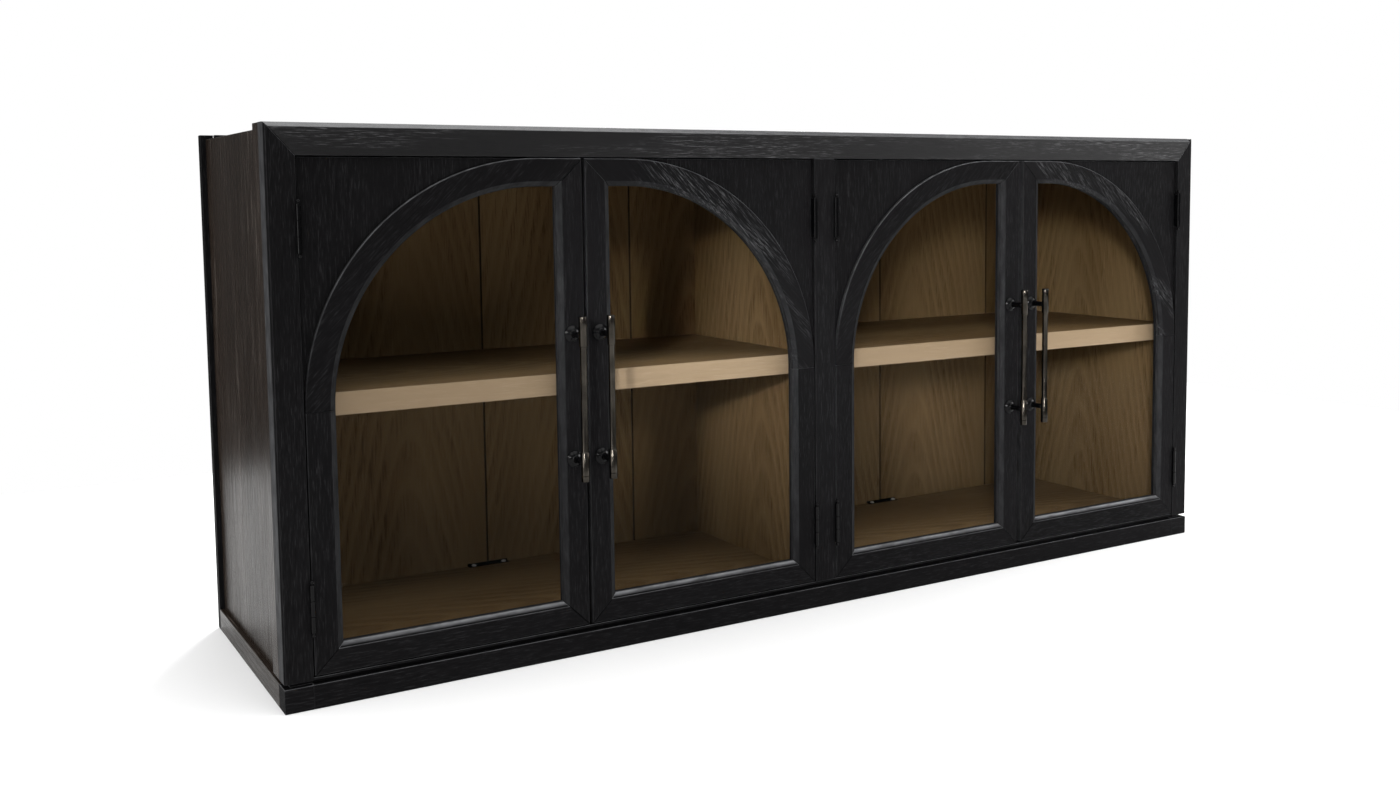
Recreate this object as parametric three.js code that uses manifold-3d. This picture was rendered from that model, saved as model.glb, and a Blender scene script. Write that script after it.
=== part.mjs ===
// Low media cabinet: face frame and plinth, two bays, four glazed doors with quarter-arch rails.
// Millimetres, +Z up, +X along the width, the doors face -Y. The origin is on the floor, under the
// middle of the whole object's box, pull handles included. Case sizes below are measured from the
// case's own corner: X from the left end, Y from the front of the face frame, Z from the floor.
import * as THREE from 'three';
import { mergeVertices } from 'three/addons/utils/BufferGeometryUtils.js';
import Module from 'manifold-3d';

// ---- driving dimensions --------------------------------------------------------------------
const WIDTH = 1829;          // 72 in
const DEPTH = 457;           // face frame to the back of the rear posts, 18 in
const HEIGHT = 813;          // 32 in
const FIT = 0.3;             // clearance between fixed pieces

const STILE = 40.5;          // width of the outer stiles
const CENTRE_STILE = 41;
const FRAME_DEPTH = 32;      // front to back of the face frame
const TOP_RAIL = 45;
const TOP_BEVEL = { rise: 6.5, run: 12 };
const ARRIS = 2.5;           // eased outer corner of the outer stiles
const FRAME_BOTTOM = 41;     // underside of the stiles
const PLINTH = { top: 34.5, thick: 18 };
const REVEAL = 10;           // how far the shadow gap over the plinth is set back
const BOTTOM_RAIL = { top: 44.5, setback: 2 };

const END_STILE = { width: 32, thick: 7.7 };
const END_PANEL = { recess: 8, thick: 12, top: 806 };
const REAR_POST = { depth: 17, width: 20 };
const BOARD = 18;            // top and bottom boards
const FLOOR_TOP = 44;        // upper face of the bottom board
const PARTITION = 16;
const BACK = { front: 428, bottom: 6 };
const GROOVE = { width: 4, depth: 2.5, fromCentre: [150, 450, 750] };
const SHELF = { top: 437, thick: 33, front: 34, edge: 4, back: 426, play: 1.5 };

const DOOR = { thick: 20, bottom: 46.5, topGap: 2, hingeGap: 2 };
const MEETING_GAP = { left: 5, right: 10 };  // between the two doors of each bay
const MEMBER = 42;                           // width of every door frame member
const MEMBER_BEVEL = { width: 8.5, depth: 5 };
const EDGE_CHAMFER = 1;
const REBATE = 8;                            // holds the glass, open at the back
const ARCH_RADIUS = 350;                     // outside of the quarter arch
const SPANDREL = { setback: 6, tip: 1 };
const GLASS = { thick: 4, play: 0.5 };

const HINGE = {              // butt hinge; the leaf lies a little to the door's side of the barrel's axis
  radius: 3.4, out: 3.6, body: 68, leaf: 64, leafThick: 1.2, leafDepth: 17, leafOffset: 0.7, fromEnd: 97,
};
const FINIAL = [             // ball finial: [radius, height over the barrel's end]
  [3.4, 0], [1.6, 0.8], [2.9, 2.8], [2.9, 4.6], [1.6, 6.4], [0, 7],
];
const PULL = {
  centre: 405, spacing: 192, standoff: 38, length: 250,
  bar: 5, ferrule: 6.25, ferruleLength: 45, cap: 8.5, groove: 0.8, post: 5.5,
};
const ROSETTE = [            // domed rose under each post: [radius, height over the door's face]
  [5.5, 6.5], [10.4, 5.3], [13, 2], [13, 0.3], [0, 0.3],
];

const ARCH_STEPS = 128;      // facets in a full turn of the arch
const ROUND_STEPS = 14;      // facets round a bar or barrel

const LOOKS = {
  black_oak: { color: 0x2b2a2c, roughness: 0.62, metalness: 0 },
  end_oak: { color: 0x4a4745, roughness: 0.6, metalness: 0 },
  brown_oak: { color: 0x66543f, roughness: 0.6, metalness: 0 },
  lipping: { color: 0xa58f73, roughness: 0.5, metalness: 0 },
  glass: { color: 0xdfe6e8, roughness: 0.05, metalness: 0, transparent: true, opacity: 0.25 },
  pewter: { color: 0x6f665e, roughness: 0.35, metalness: 1 },
  black_steel: { color: 0x161616, roughness: 0.3, metalness: 1 },
};

// ---- solids --------------------------------------------------------------------------------
const wasm = await Module();
wasm.setup();

function toSolid(geometry) {
  const bare = geometry.clone();
  bare.deleteAttribute('normal');
  bare.deleteAttribute('uv');
  const merged = mergeVertices(bare, 1e-4);
  return new wasm.Manifold(new wasm.Mesh({
    numProp: 3,
    vertProperties: new Float32Array(merged.attributes.position.array),
    triVerts: new Uint32Array(merged.index.array),
  }));
}

function toGeometry(solid) {
  const mesh = solid.getMesh();
  const geometry = new THREE.BufferGeometry();
  geometry.setAttribute('position', new THREE.BufferAttribute(new Float32Array(mesh.vertProperties), 3));
  geometry.setIndex(new THREE.BufferAttribute(new Uint32Array(mesh.triVerts), 1));
  geometry.computeVertexNormals();
  return geometry;
}

// The same piece for the opposite hand: X changes sign and each triangle is turned round.
function mirrored(geometry) {
  const copy = geometry.clone().scale(-1, 1, 1);
  const index = copy.index.array;
  for (let i = 0; i < index.length; i += 3) [index[i], index[i + 1]] = [index[i + 1], index[i]];
  copy.computeVertexNormals();
  return copy;
}

// A box from its lowest to its highest corner.
function block([x0, y0, z0], [x1, y1, z1]) {
  const geometry = new THREE.BoxGeometry(x1 - x0, y1 - y0, z1 - z0);
  return toSolid(geometry.translate((x0 + x1) / 2, (y0 + y1) / 2, (z0 + z1) / 2));
}

const asShape = (points) => new THREE.Shape(points.map(([a, b]) => new THREE.Vector2(a, b)));
const axes = (a, b, c) => new THREE.Matrix4().makeBasis(
  new THREE.Vector3(...a), new THREE.Vector3(...b), new THREE.Vector3(...c));

// Prisms. The outline is drawn in the plane across the length, in the order named.
function prismAlongX(shape, x0, x1) {        // outline in (Y, Z)
  const geometry = new THREE.ExtrudeGeometry(shape, { depth: x1 - x0, bevelEnabled: false });
  return toSolid(geometry.translate(0, 0, x0).applyMatrix4(axes([0, 1, 0], [0, 0, 1], [1, 0, 0])));
}
function prismAlongZ(shape, z0, z1) {        // outline in (X, Y)
  const geometry = new THREE.ExtrudeGeometry(shape, { depth: z1 - z0, bevelEnabled: false });
  return toSolid(geometry.translate(0, 0, z0));
}
function prismAlongY(shape, y0, y1) {        // outline in (X, Z)
  const geometry = new THREE.ExtrudeGeometry(shape, {
    depth: y1 - y0, bevelEnabled: false, curveSegments: ARCH_STEPS / 4,
  });
  return toSolid(geometry.translate(0, 0, -y1).applyMatrix4(axes([1, 0, 0], [0, 0, 1], [0, -1, 0])));
}

// Turned pieces: [radius, distance along the axis], from the axis back to the axis.
const lathe = (points, steps) =>
  new THREE.LatheGeometry(points.map(([r, h]) => new THREE.Vector2(r, h)), steps);
const turnedAlongY = (points, x, y, z) => toSolid(lathe(points, ROUND_STEPS).translate(x, y, z));
const turnedAlongZ = (points, x, y, z) =>
  toSolid(lathe(points, ROUND_STEPS).rotateX(Math.PI / 2).translate(x, y, z));
// A profile whose two halves mirror each other, from the upper half's points.
const bothHalves = (half) => [...half.map(([r, h]) => [r, -h]).reverse(), ...half];

// ---- doors ---------------------------------------------------------------------------------
// A door is drawn with X from its hinge edge to its meeting edge, Y from its face to its back and
// Z from its bottom edge.
const MITRE_GAP = FIT * Math.SQRT2;
const MEMBER_SECTION = [     // [distance in from the outer edge, depth behind the face]
  [0, EDGE_CHAMFER], [EDGE_CHAMFER, 0], [MEMBER - MEMBER_BEVEL.width, 0], [MEMBER, MEMBER_BEVEL.depth],
  [MEMBER, DOOR.thick - REBATE], [MEMBER - REBATE, DOOR.thick - REBATE],
  [MEMBER - REBATE, DOOR.thick], [0, DOOR.thick],
];

// The part of a member inside an outline in the plane of the door's face.
const within = (solid, points) => solid.intersect(prismAlongY(asShape(points), -1, DOOR.thick + 1));

const uprightMember = (edge, side, z0, z1) =>
  prismAlongZ(asShape(MEMBER_SECTION.map(([s, y]) => [edge + side * s, y])), z0, z1);
const levelMember = (edge, side, x0, x1) =>
  prismAlongX(asShape(MEMBER_SECTION.map(([s, y]) => [y, edge + side * s])), x0, x1);

function archRail(width, height, springLine) {
  const section = [...MEMBER_SECTION, MEMBER_SECTION[0]].reverse();
  const ring = lathe(section.map(([s, y]) => [ARCH_RADIUS - s, y]), ARCH_STEPS);
  ring.translate(ARCH_RADIUS, 0, springLine);
  const quarter = toSolid(ring).intersect(
    block([-1, -1, springLine + FIT / 2], [ARCH_RADIUS, DOOR.thick + 1, height + 1]));
  const straight = within(levelMember(height, -1, ARCH_RADIUS - 0.1, width), [
    [0, height], [0, height - MEMBER - 1], [width - MEMBER - 1, height - MEMBER - 1], [width, height]]);
  return quarter.add(straight);
}

// Corner panel outside the arch, with its two thin tips cut square.
function spandrel(height, springLine) {
  const radius = ARCH_RADIUS + FIT;
  const reach = ARCH_RADIUS - SPANDREL.tip;
  const tip = Math.acos(reach / radius);
  const rise = radius * Math.sin(tip);
  const shape = new THREE.Shape();
  shape.moveTo(0, springLine + rise);
  shape.lineTo(0, height);
  shape.lineTo(ARCH_RADIUS - rise, height);
  shape.absarc(ARCH_RADIUS, springLine, radius, Math.PI / 2 + tip, Math.PI - tip, false);
  return prismAlongY(shape, SPANDREL.setback, DOOR.thick);
}

function glassPane(width, height, springLine) {
  const inset = MEMBER - REBATE + GLASS.play;
  const front = DOOR.thick - REBATE + FIT;
  const shape = new THREE.Shape();
  shape.moveTo(inset, inset);
  shape.lineTo(width - inset, inset);
  shape.lineTo(width - inset, height - inset);
  shape.absarc(ARCH_RADIUS, springLine, ARCH_RADIUS - inset, Math.PI / 2, Math.PI, false);
  return prismAlongY(shape, front, front + GLASS.thick);
}

// Butt hinge: barrel with a ball finial at each end, and the leaf let into the door's edge.
function hinge(z) {
  const end = HINGE.body / 2;
  const axisX = -DOOR.hingeGap / 2;
  const leafX = axisX + HINGE.leafOffset;
  const barrel = turnedAlongZ(bothHalves(FINIAL.map(([r, h]) => [r, end + h])), axisX, -HINGE.out, z);
  return barrel.add(block(
    [leafX, -HINGE.out, z - HINGE.leaf / 2],
    [leafX + HINGE.leafThick, HINGE.leafDepth, z + HINGE.leaf / 2]));
}

// The pocket for a hinge leaf in the door's edge.
function mortise(z) {
  const reach = HINGE.leaf / 2 + FIT;
  const depth = HINGE.leafOffset + HINGE.leafThick + FIT - DOOR.hingeGap / 2;
  return block([-1, -1, z - reach], [depth, HINGE.leafDepth + FIT, z + reach]);
}

// Bar pull: turned bar with a ferrule at each end, on two posts with domed rosettes.
function pull(width) {
  const x = width - MEMBER / 2;
  const centre = PULL.centre - DOOR.bottom;
  const end = PULL.length / 2;
  const ring = end - PULL.cap;
  const step = end - PULL.ferruleLength;
  const half = [
    [PULL.bar, step - PULL.groove], [PULL.ferrule, step], [PULL.ferrule, ring - PULL.groove],
    [PULL.ferrule - PULL.groove, ring - PULL.groove / 2], [PULL.ferrule, ring],
    [PULL.ferrule, end - PULL.groove], [PULL.ferrule - PULL.groove, end], [0, end]];
  const post = [[0, -PULL.standoff], [PULL.post, -PULL.standoff], ...ROSETTE.map(([r, h]) => [r, -h])];
  return [-1, 1].reduce(
    (solid, side) => solid.add(turnedAlongY(post, x, 0, centre + side * PULL.spacing / 2)),
    turnedAlongZ(bothHalves(half), x, -PULL.standoff, centre));
}

function doorPieces(width, height) {
  const springLine = height - ARCH_RADIUS;
  const far = MEMBER + 1;
  const low = HINGE.fromEnd;
  const high = height - HINGE.fromEnd;
  const hingeStile = within(uprightMember(0, 1, 0, springLine - FIT / 2), [
    [0, MITRE_GAP], [far, far + MITRE_GAP], [far, springLine], [0, springLine]]);
  const bottomRail = within(levelMember(0, 1, 0, width), [
    [0, 0], [width, 0], [width - far, far], [far, far]]);
  const meetingStile = within(uprightMember(width, -1, 0, height), [
    [width, MITRE_GAP], [width, height - MITRE_GAP],
    [width - far, height - far - MITRE_GAP], [width - far, far + MITRE_GAP]]);
  return {
    hinge_stile: [hingeStile.subtract(mortise(low)), 'black_oak'],
    bottom_rail: [bottomRail, 'black_oak'],
    meeting_stile: [meetingStile, 'black_oak'],
    arch_rail: [archRail(width, height, springLine), 'black_oak'],
    spandrel: [spandrel(height, springLine).subtract(mortise(high)), 'black_oak'],
    glass: [glassPane(width, height, springLine), 'glass'],
    pull: [pull(width), 'pewter'],
    upper_hinge: [hinge(high), 'black_steel'],
    lower_hinge: [hinge(low), 'black_steel'],
  };
}

// ---- case ----------------------------------------------------------------------------------
const openingTop = HEIGHT - TOP_RAIL;
const innerLeft = END_PANEL.recess + END_PANEL.thick;
const middle = WIDTH / 2;
const boardFront = FRAME_DEPTH + FIT;
const boardBack = BACK.front - FIT;
const postFront = DEPTH - REAR_POST.depth;
const topUnderside = END_PANEL.top - BOARD;

// Pieces of the left half that the right half repeats in mirror image.
function endPieces() {
  const stileSection = [
    [0, ARRIS], [ARRIS, 0], [STILE, 0], [STILE, FRAME_DEPTH], [0, FRAME_DEPTH]];
  const stileFace = [
    [-1, FRAME_BOTTOM], [STILE, FRAME_BOTTOM], [STILE, openingTop - MITRE_GAP],
    [0, HEIGHT - MITRE_GAP], [-1, HEIGHT - MITRE_GAP]];
  const stile = prismAlongZ(asShape(stileSection), FRAME_BOTTOM, HEIGHT)
    .intersect(prismAlongY(asShape(stileFace), -1, FRAME_DEPTH + 1));
  const blockSide = STILE - FIT;
  const plinthBlock = block([0, 0, 0], [blockSide, FRAME_DEPTH, PLINTH.top]).add(
    block([REVEAL, REVEAL, PLINTH.top - 1], [blockSide, FRAME_DEPTH, FRAME_BOTTOM - FIT]));
  const [runFront, runBack] = [FRAME_DEPTH + FIT, postFront - FIT];
  const shelfLeft = innerLeft + SHELF.play;
  const shelfRight = middle - PARTITION / 2 - SHELF.play;
  const shelfUnderside = SHELF.top - SHELF.thick;
  const edgeBack = SHELF.front + SHELF.edge;
  return {
    stile: [stile, 'black_oak'],
    end_stile: [block(
      [0, runFront, FRAME_BOTTOM], [END_STILE.thick, runFront + END_STILE.width, HEIGHT]), 'end_oak'],
    end_panel: [block(
      [END_PANEL.recess, runFront, PLINTH.top + FIT], [innerLeft, runBack, END_PANEL.top]), 'end_oak'],
    rear_post: [block([0, postFront, 0], [REAR_POST.width, DEPTH, HEIGHT]), 'black_oak'],
    plinth_block: [plinthBlock, 'black_oak'],
    plinth_side: [block([0, runFront, 0], [PLINTH.thick, runBack, PLINTH.top]), 'end_oak'],
    shelf: [block(
      [shelfLeft, edgeBack + FIT, shelfUnderside], [shelfRight, SHELF.back, SHELF.top]), 'brown_oak'],
    shelf_edge: [block(
      [shelfLeft, SHELF.front, shelfUnderside], [shelfRight, edgeBack, SHELF.top]), 'lipping'],
  };
}

// One board from the plinth to the top, with V-grooves down its face.
function backPanel() {
  const panel = block(
    [innerLeft + FIT, BACK.front, BACK.bottom], [WIDTH - innerLeft - FIT, postFront - FIT, HEIGHT]);
  const half = GROOVE.width / 2;
  const groove = (x) => prismAlongZ(asShape([
    [x - half, BACK.front - 1], [x - half, BACK.front], [x, BACK.front + GROOVE.depth],
    [x + half, BACK.front], [x + half, BACK.front - 1]]), 0, HEIGHT + 1);
  return [-1, 1]
    .flatMap((side) => GROOVE.fromCentre.map((x) => middle + side * x))
    .reduce((solid, x) => solid.subtract(groove(x)), panel);
}

function centrePieces() {
  const topSection = [                       // (Y, Z)
    [0, openingTop], [FRAME_DEPTH, openingTop], [FRAME_DEPTH, HEIGHT], [TOP_BEVEL.run, HEIGHT],
    [0, HEIGHT - TOP_BEVEL.rise]];
  const topFace = [                          // (X, Z), mitred into the stiles
    [STILE, openingTop - 1], [STILE, openingTop], [0, HEIGHT], [0, HEIGHT + 1],
    [WIDTH, HEIGHT + 1], [WIDTH, HEIGHT], [WIDTH - STILE, openingTop], [WIDTH - STILE, openingTop - 1]];
  const topRail = prismAlongX(asShape(topSection), 0, WIDTH)
    .intersect(prismAlongY(asShape(topFace), -1, FRAME_DEPTH + 1));
  const bottomSection = [                    // (Y, Z), with the shadow gap under its lip
    [BOTTOM_RAIL.setback, FRAME_BOTTOM], [REVEAL, FRAME_BOTTOM], [REVEAL, PLINTH.top + FIT],
    [FRAME_DEPTH, PLINTH.top + FIT], [FRAME_DEPTH, BOTTOM_RAIL.top],
    [BOTTOM_RAIL.setback, BOTTOM_RAIL.top]];
  const boardLeft = innerLeft + FIT;
  const boardRight = WIDTH - boardLeft;
  return {
    top_rail: [topRail, 'black_oak'],
    bottom_rail: [prismAlongX(asShape(bottomSection), STILE + FIT, WIDTH - STILE - FIT), 'black_oak'],
    centre_stile: [block([middle - CENTRE_STILE / 2, 0, BOTTOM_RAIL.top + FIT],
      [middle + CENTRE_STILE / 2, FRAME_DEPTH, openingTop - FIT]), 'black_oak'],
    top_board: [block(
      [boardLeft, boardFront, topUnderside], [boardRight, boardBack, END_PANEL.top]), 'brown_oak'],
    bottom_board: [block(
      [boardLeft, boardFront, FLOOR_TOP - BOARD], [boardRight, boardBack, FLOOR_TOP]), 'brown_oak'],
    centre_partition: [block([middle - PARTITION / 2, boardFront, FLOOR_TOP + FIT],
      [middle + PARTITION / 2, boardBack, topUnderside - FIT]), 'brown_oak'],
    back_panel: [backPanel(), 'brown_oak'],
    plinth_front: [block([STILE, 0, 0], [WIDTH - STILE, PLINTH.thick, PLINTH.top]), 'black_oak'],
  };
}

// ---- the scene -----------------------------------------------------------------------------
function addPieces(group, pieces, prefix, hand = 1) {
  for (const [name, [solid, look]] of Object.entries(pieces)) {
    const geometry = toGeometry(solid);
    const mesh = new THREE.Mesh(hand < 0 ? mirrored(geometry) : geometry,
      new THREE.MeshStandardMaterial({ name: look, ...LOOKS[look] }));
    mesh.name = prefix + name;
    group.add(mesh);
  }
}

const cabinet = new THREE.Group();
const frontReach = PULL.standoff + PULL.ferrule;
cabinet.position.set(-middle, (frontReach - DEPTH) / 2, 0);

const rightEnd = new THREE.Group();
rightEnd.position.x = WIDTH;
addPieces(cabinet, centrePieces(), '');
addPieces(cabinet, endPieces(), 'left_');
addPieces(rightEnd, endPieces(), 'right_', -1);
cabinet.add(rightEnd);

const bayWidth = middle - CENTRE_STILE / 2 - STILE;
const doorHeight = openingTop - DOOR.topGap - DOOR.bottom;
const doors = [              // hand is +1 when the hinges are on the door's left edge
  { prefix: 'left_outer_', edge: STILE + DOOR.hingeGap, hand: 1, gap: MEETING_GAP.left },
  { prefix: 'left_inner_', edge: STILE + bayWidth - DOOR.hingeGap, hand: -1, gap: MEETING_GAP.left },
  {
    prefix: 'right_inner_', edge: WIDTH - STILE - bayWidth + DOOR.hingeGap, hand: 1, gap: MEETING_GAP.right,
  },
  { prefix: 'right_outer_', edge: WIDTH - STILE - DOOR.hingeGap, hand: -1, gap: MEETING_GAP.right },
];
for (const { prefix, edge, hand, gap } of doors) {
  const door = new THREE.Group();
  door.position.set(edge, 0, DOOR.bottom);
  addPieces(door, doorPieces((bayWidth - gap) / 2 - DOOR.hingeGap, doorHeight), prefix, hand);
  cabinet.add(door);
}

export default cabinet;
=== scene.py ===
import math
import random

import bmesh
import bpy
from mathutils import Matrix, Vector


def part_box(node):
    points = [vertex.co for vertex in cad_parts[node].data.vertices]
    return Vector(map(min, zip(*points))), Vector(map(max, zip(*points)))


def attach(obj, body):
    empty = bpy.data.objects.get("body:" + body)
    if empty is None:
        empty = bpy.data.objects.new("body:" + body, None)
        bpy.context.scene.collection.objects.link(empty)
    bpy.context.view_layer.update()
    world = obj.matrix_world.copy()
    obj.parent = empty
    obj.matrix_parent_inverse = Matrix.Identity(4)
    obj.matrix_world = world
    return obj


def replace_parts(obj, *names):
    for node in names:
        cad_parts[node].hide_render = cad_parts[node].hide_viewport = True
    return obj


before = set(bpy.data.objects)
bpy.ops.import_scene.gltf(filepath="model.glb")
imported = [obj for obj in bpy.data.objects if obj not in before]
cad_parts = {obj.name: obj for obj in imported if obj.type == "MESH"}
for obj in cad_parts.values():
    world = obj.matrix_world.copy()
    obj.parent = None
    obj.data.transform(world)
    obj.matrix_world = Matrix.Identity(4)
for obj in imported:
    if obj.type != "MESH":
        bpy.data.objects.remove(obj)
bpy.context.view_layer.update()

# Media cabinet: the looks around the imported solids. Metres, +Z up, the doors face -Y.
MM = 0.001
DOORS = {"left_outer": 1, "left_inner": -1, "right_inner": 1, "right_outer": -1}   # +1: hinged on its left
SIDES = {"left": -1, "right": 1}                                                   # outwards along X
SEED = 11
chance = random.Random(SEED)

X, Y, Z = Vector((1, 0, 0)), Vector((0, 1, 0)), Vector((0, 0, 1))


# ---- camera ---------------------------------------------------------------------------------
EYE = Vector((-1.3308, -2.0681, 0.7081))
YAW, PITCH, ROLL = 31.25, -4.80, -0.587          # degrees: right of +Y, above the horizon, about the axis
LENS, SENSOR = 34.71, 36
SHIFT = (-0.0170, -0.0652)


def add_camera():
    yaw, pitch, roll = (math.radians(angle) for angle in (YAW, PITCH, ROLL))
    forward = Vector((math.sin(yaw) * math.cos(pitch), math.cos(yaw) * math.cos(pitch), math.sin(pitch)))
    right = Vector((math.cos(yaw), -math.sin(yaw), 0))
    up = right.cross(forward)
    side = right * math.cos(roll) + up * math.sin(roll)
    top = up * math.cos(roll) - right * math.sin(roll)
    camera = bpy.data.cameras.new("camera")
    camera.lens, camera.sensor_width = LENS, SENSOR
    camera.shift_x, camera.shift_y = SHIFT
    holder = bpy.data.objects.new("camera", camera)
    holder.matrix_world = Matrix.Translation(EYE) @ Matrix((side, top, -forward)).transposed().to_4x4()
    bpy.context.scene.collection.objects.link(holder)
    bpy.context.scene.camera = holder


# ---- node materials -------------------------------------------------------------------------
class Look:
    """A material built from nodes. An input's value is a number, a colour or another node's output."""

    def __init__(self, name):
        self.material = bpy.data.materials.new(name)
        self.material.use_nodes = True
        self.nodes = self.material.node_tree.nodes
        self.links = self.material.node_tree.links
        self.nodes.clear()

    def add(self, kind, inputs, **settings):
        node = self.nodes.new(kind)
        for key, value in settings.items():
            setattr(node, key, value)
        for key, value in inputs.items():
            if isinstance(value, bpy.types.NodeSocket):
                self.links.new(value, node.inputs[key])
            else:
                node.inputs[key].default_value = value
        return node

    def attribute(self, name, output):
        return self.add("ShaderNodeAttribute", {}, attribute_name=name).outputs[output]

    def place(self):
        return self.add("ShaderNodeTexCoord", {}).outputs["Object"]

    def math(self, operation, first, second=0.0, clamp=False):
        node = self.add("ShaderNodeMath", {0: first, 1: second}, operation=operation, use_clamp=clamp)
        return node.outputs[0]

    def noise(self, vector, scale, detail=2.0, roughness=0.5):
        """Noise on a vector, with its own scale in cycles per metre along each of the vector's axes."""
        stretched = self.add("ShaderNodeVectorMath", {0: vector, 1: scale}, operation="MULTIPLY").outputs[0]
        node = self.add("ShaderNodeTexNoise", {
            "Vector": stretched, "Scale": 1.0, "Detail": detail, "Roughness": roughness})
        return node.outputs[0]

    def ramp(self, value, low, high, start=0.0, end=1.0):
        node = self.add("ShaderNodeMapRange", {
            "Value": value, "From Min": low, "From Max": high, "To Min": start, "To Max": end},
            interpolation_type="SMOOTHSTEP")
        return node.outputs[0]

    def blend(self, share, first, second):
        node = self.add("ShaderNodeMix", {0: share, 6: first, 7: second}, data_type="RGBA")
        return node.outputs[2]

    def bump(self, height, distance):
        node = self.add("ShaderNodeBump", {"Height": height, "Distance": distance, "Strength": 1.0})
        return node.outputs[0]

    def surface(self, **inputs):
        shader = self.add("ShaderNodeBsdfPrincipled", {
            key.replace("_", " "): value for key, value in inputs.items()})
        return self.close(shader)

    def close(self, shader):
        self.add("ShaderNodeOutputMaterial", {"Surface": shader.outputs[0]})
        return self.material


def rgb(red, green, blue):
    return (red, green, blue, 1.0)


# Noise in wood: cycles per metre along the grain, across it and into the board.
RING_WANDER_SCALE = (2.2, 9, 9)
RING_SHAKE_SCALE = (18, 110, 110)
RING_FADE_SCALE = (1.6, 9, 9)
PORE_SCALE = (26, 520, 520)
PATCH_SCALE = (3.0, 20, 20)
TONE_SCALE = (1.3, 5, 5)
WEAR_SCALE = (30, 90, 90)
RING_WANDER, RING_SHAKE = 35 * MM, 5.5 * MM
RING_HEIGHT = 30 * MM         # how far the face of a plank is from the heart of the log
RING_RELIEF = 0.30            # of a ring against the fibres
GROOVE_SHADE_AND_JOINT_DARK = 0.22                  # brightness of the ground colour in a groove, painted there as shade, and on a joint's edges, which are dark


def oak(name, ground, fibre, ring_tone, streak_share, ring_share, wear_and_highlight, roughness, specular,
        relief=0.22 * MM, ring_spacing=6.5 * MM, taper=0.09, patch=(0.36, 0.66), fine=(38, 600, 600),
        coarse=(15, 230, 230)):
    """Sawn oak. The grain attribute holds metres along the grain, across it and into the board."""
    look = Look(name)
    grain = look.attribute("grain", "Vector")
    along, across, _ = look.add("ShaderNodeSeparateXYZ", {0: grain}).outputs
    # Growth rings: circles about the log's heart, met by a flat face, so they run in tall arches.
    wander = look.math("SUBTRACT", look.noise(grain, RING_WANDER_SCALE), 0.5)
    shaky = look.math("SUBTRACT", look.noise(grain, RING_SHAKE_SCALE, 3.0), 0.5)
    centred = look.math("ADD", across, look.math("MULTIPLY", wander, RING_WANDER))
    radius = look.math("SQRT", look.math("ADD", look.math("POWER", centred, 2.0), RING_HEIGHT ** 2))
    radius = look.math("ADD", radius, look.math("MULTIPLY", along, taper))
    radius = look.math("ADD", radius, look.math("MULTIPLY", shaky, RING_SHAKE))
    phase = look.math("FRACT", look.math("DIVIDE", radius, ring_spacing))
    ring = look.math("MULTIPLY", look.ramp(phase, 0.0, 0.55), look.ramp(phase, 1.0, 0.80))
    # Brushed fibres in two sizes, in patches.
    fibres = look.noise(grain, fine, 3.0, 0.65)
    broad = look.noise(grain, coarse, 2.0, 0.6)
    patches = look.ramp(look.noise(grain, PATCH_SCALE, 3.0), *patch)
    streaks = look.math("MULTIPLY", look.ramp(fibres, 0.47, 0.66), look.ramp(broad, 0.40, 0.60))
    light = look.math("MULTIPLY", look.math("MULTIPLY", streaks, streak_share), patches)
    # Open pores break up each ring, and the rings fade in and out along the board.
    pores = look.ramp(look.noise(grain, PORE_SCALE, 2.0, 0.6), 0.50, 0.66)
    fading = look.ramp(look.noise(grain, RING_FADE_SCALE), 0.34, 0.60, 0.25)
    marks = look.math("MULTIPLY", ring, look.math("ADD", look.math("MULTIPLY", pores, 0.7), 0.3))
    marks = look.math("MULTIPLY", marks, fading)
    tone = look.noise(grain, TONE_SCALE)
    colour = look.blend(look.ramp(tone, 0.3, 0.7, 0.0, 0.45), ground, ring_tone)
    colour = look.blend(look.math("MULTIPLY", marks, ring_share), colour, ring_tone)
    colour = look.blend(light, colour, fibre)
    # The wear_and_light attribute is up to 1 on a rubbed edge and on faces painted lighter as lit from above
    # or from the side, unevenly in both; it is -1 in a groove, painted dark as shade, and on a joint's
    # edges, which are dark.
    wear_and_light = look.attribute("wear_and_light", "Fac")
    uneven = look.ramp(look.noise(grain, WEAR_SCALE, 3.0), 0.30, 0.70, 0.45, 1.0)
    # Rubbed edges, and faces painted lighter as lit, blend towards the wear_and_highlight colour.
    colour = look.blend(look.math("MULTIPLY", wear_and_light, uneven, clamp=True), colour, wear_and_highlight)
    colour = look.blend(look.ramp(wear_and_light, 0.0, -1.0), colour, rgb(*(GROOVE_SHADE_AND_JOINT_DARK * part for part in ground[:3])))
    height = look.math("SUBTRACT", fibres, look.math("MULTIPLY", ring, RING_RELIEF))
    return look.surface(
        Base_Color=colour,
        Roughness=look.ramp(fibres, 0.3, 0.75, roughness + 0.09, roughness - 0.08),
        Specular_IOR_Level=specular,
        Normal=look.bump(height, relief))


METAL_MARK_SCALE = (900, 900, 60)
METAL_CLOUD_SCALE = (45, 45, 45)
METAL_RELIEF = 0.02 * MM


def metal(name, colour, dark, roughness, metallic, specular=0.5):
    """Turned or painted metal, or rubber, with fine working marks and slight scuffs."""
    look = Look(name)
    place = look.place()
    marks = look.noise(place, METAL_MARK_SCALE, 3.0, 0.6)
    cloud = look.noise(place, METAL_CLOUD_SCALE, 3.0, 0.55)
    return look.surface(
        Base_Color=look.blend(look.ramp(cloud, 0.3, 0.7), dark, colour),
        Metallic=metallic,
        Roughness=look.ramp(marks, 0.25, 0.75, roughness - 0.06, roughness + 0.08),
        Specular_IOR_Level=specular,
        Normal=look.bump(marks, METAL_RELIEF))


SMEAR_SCALE = (7, 7, 3)
MIRROR_SHARE = 0.0012


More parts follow.
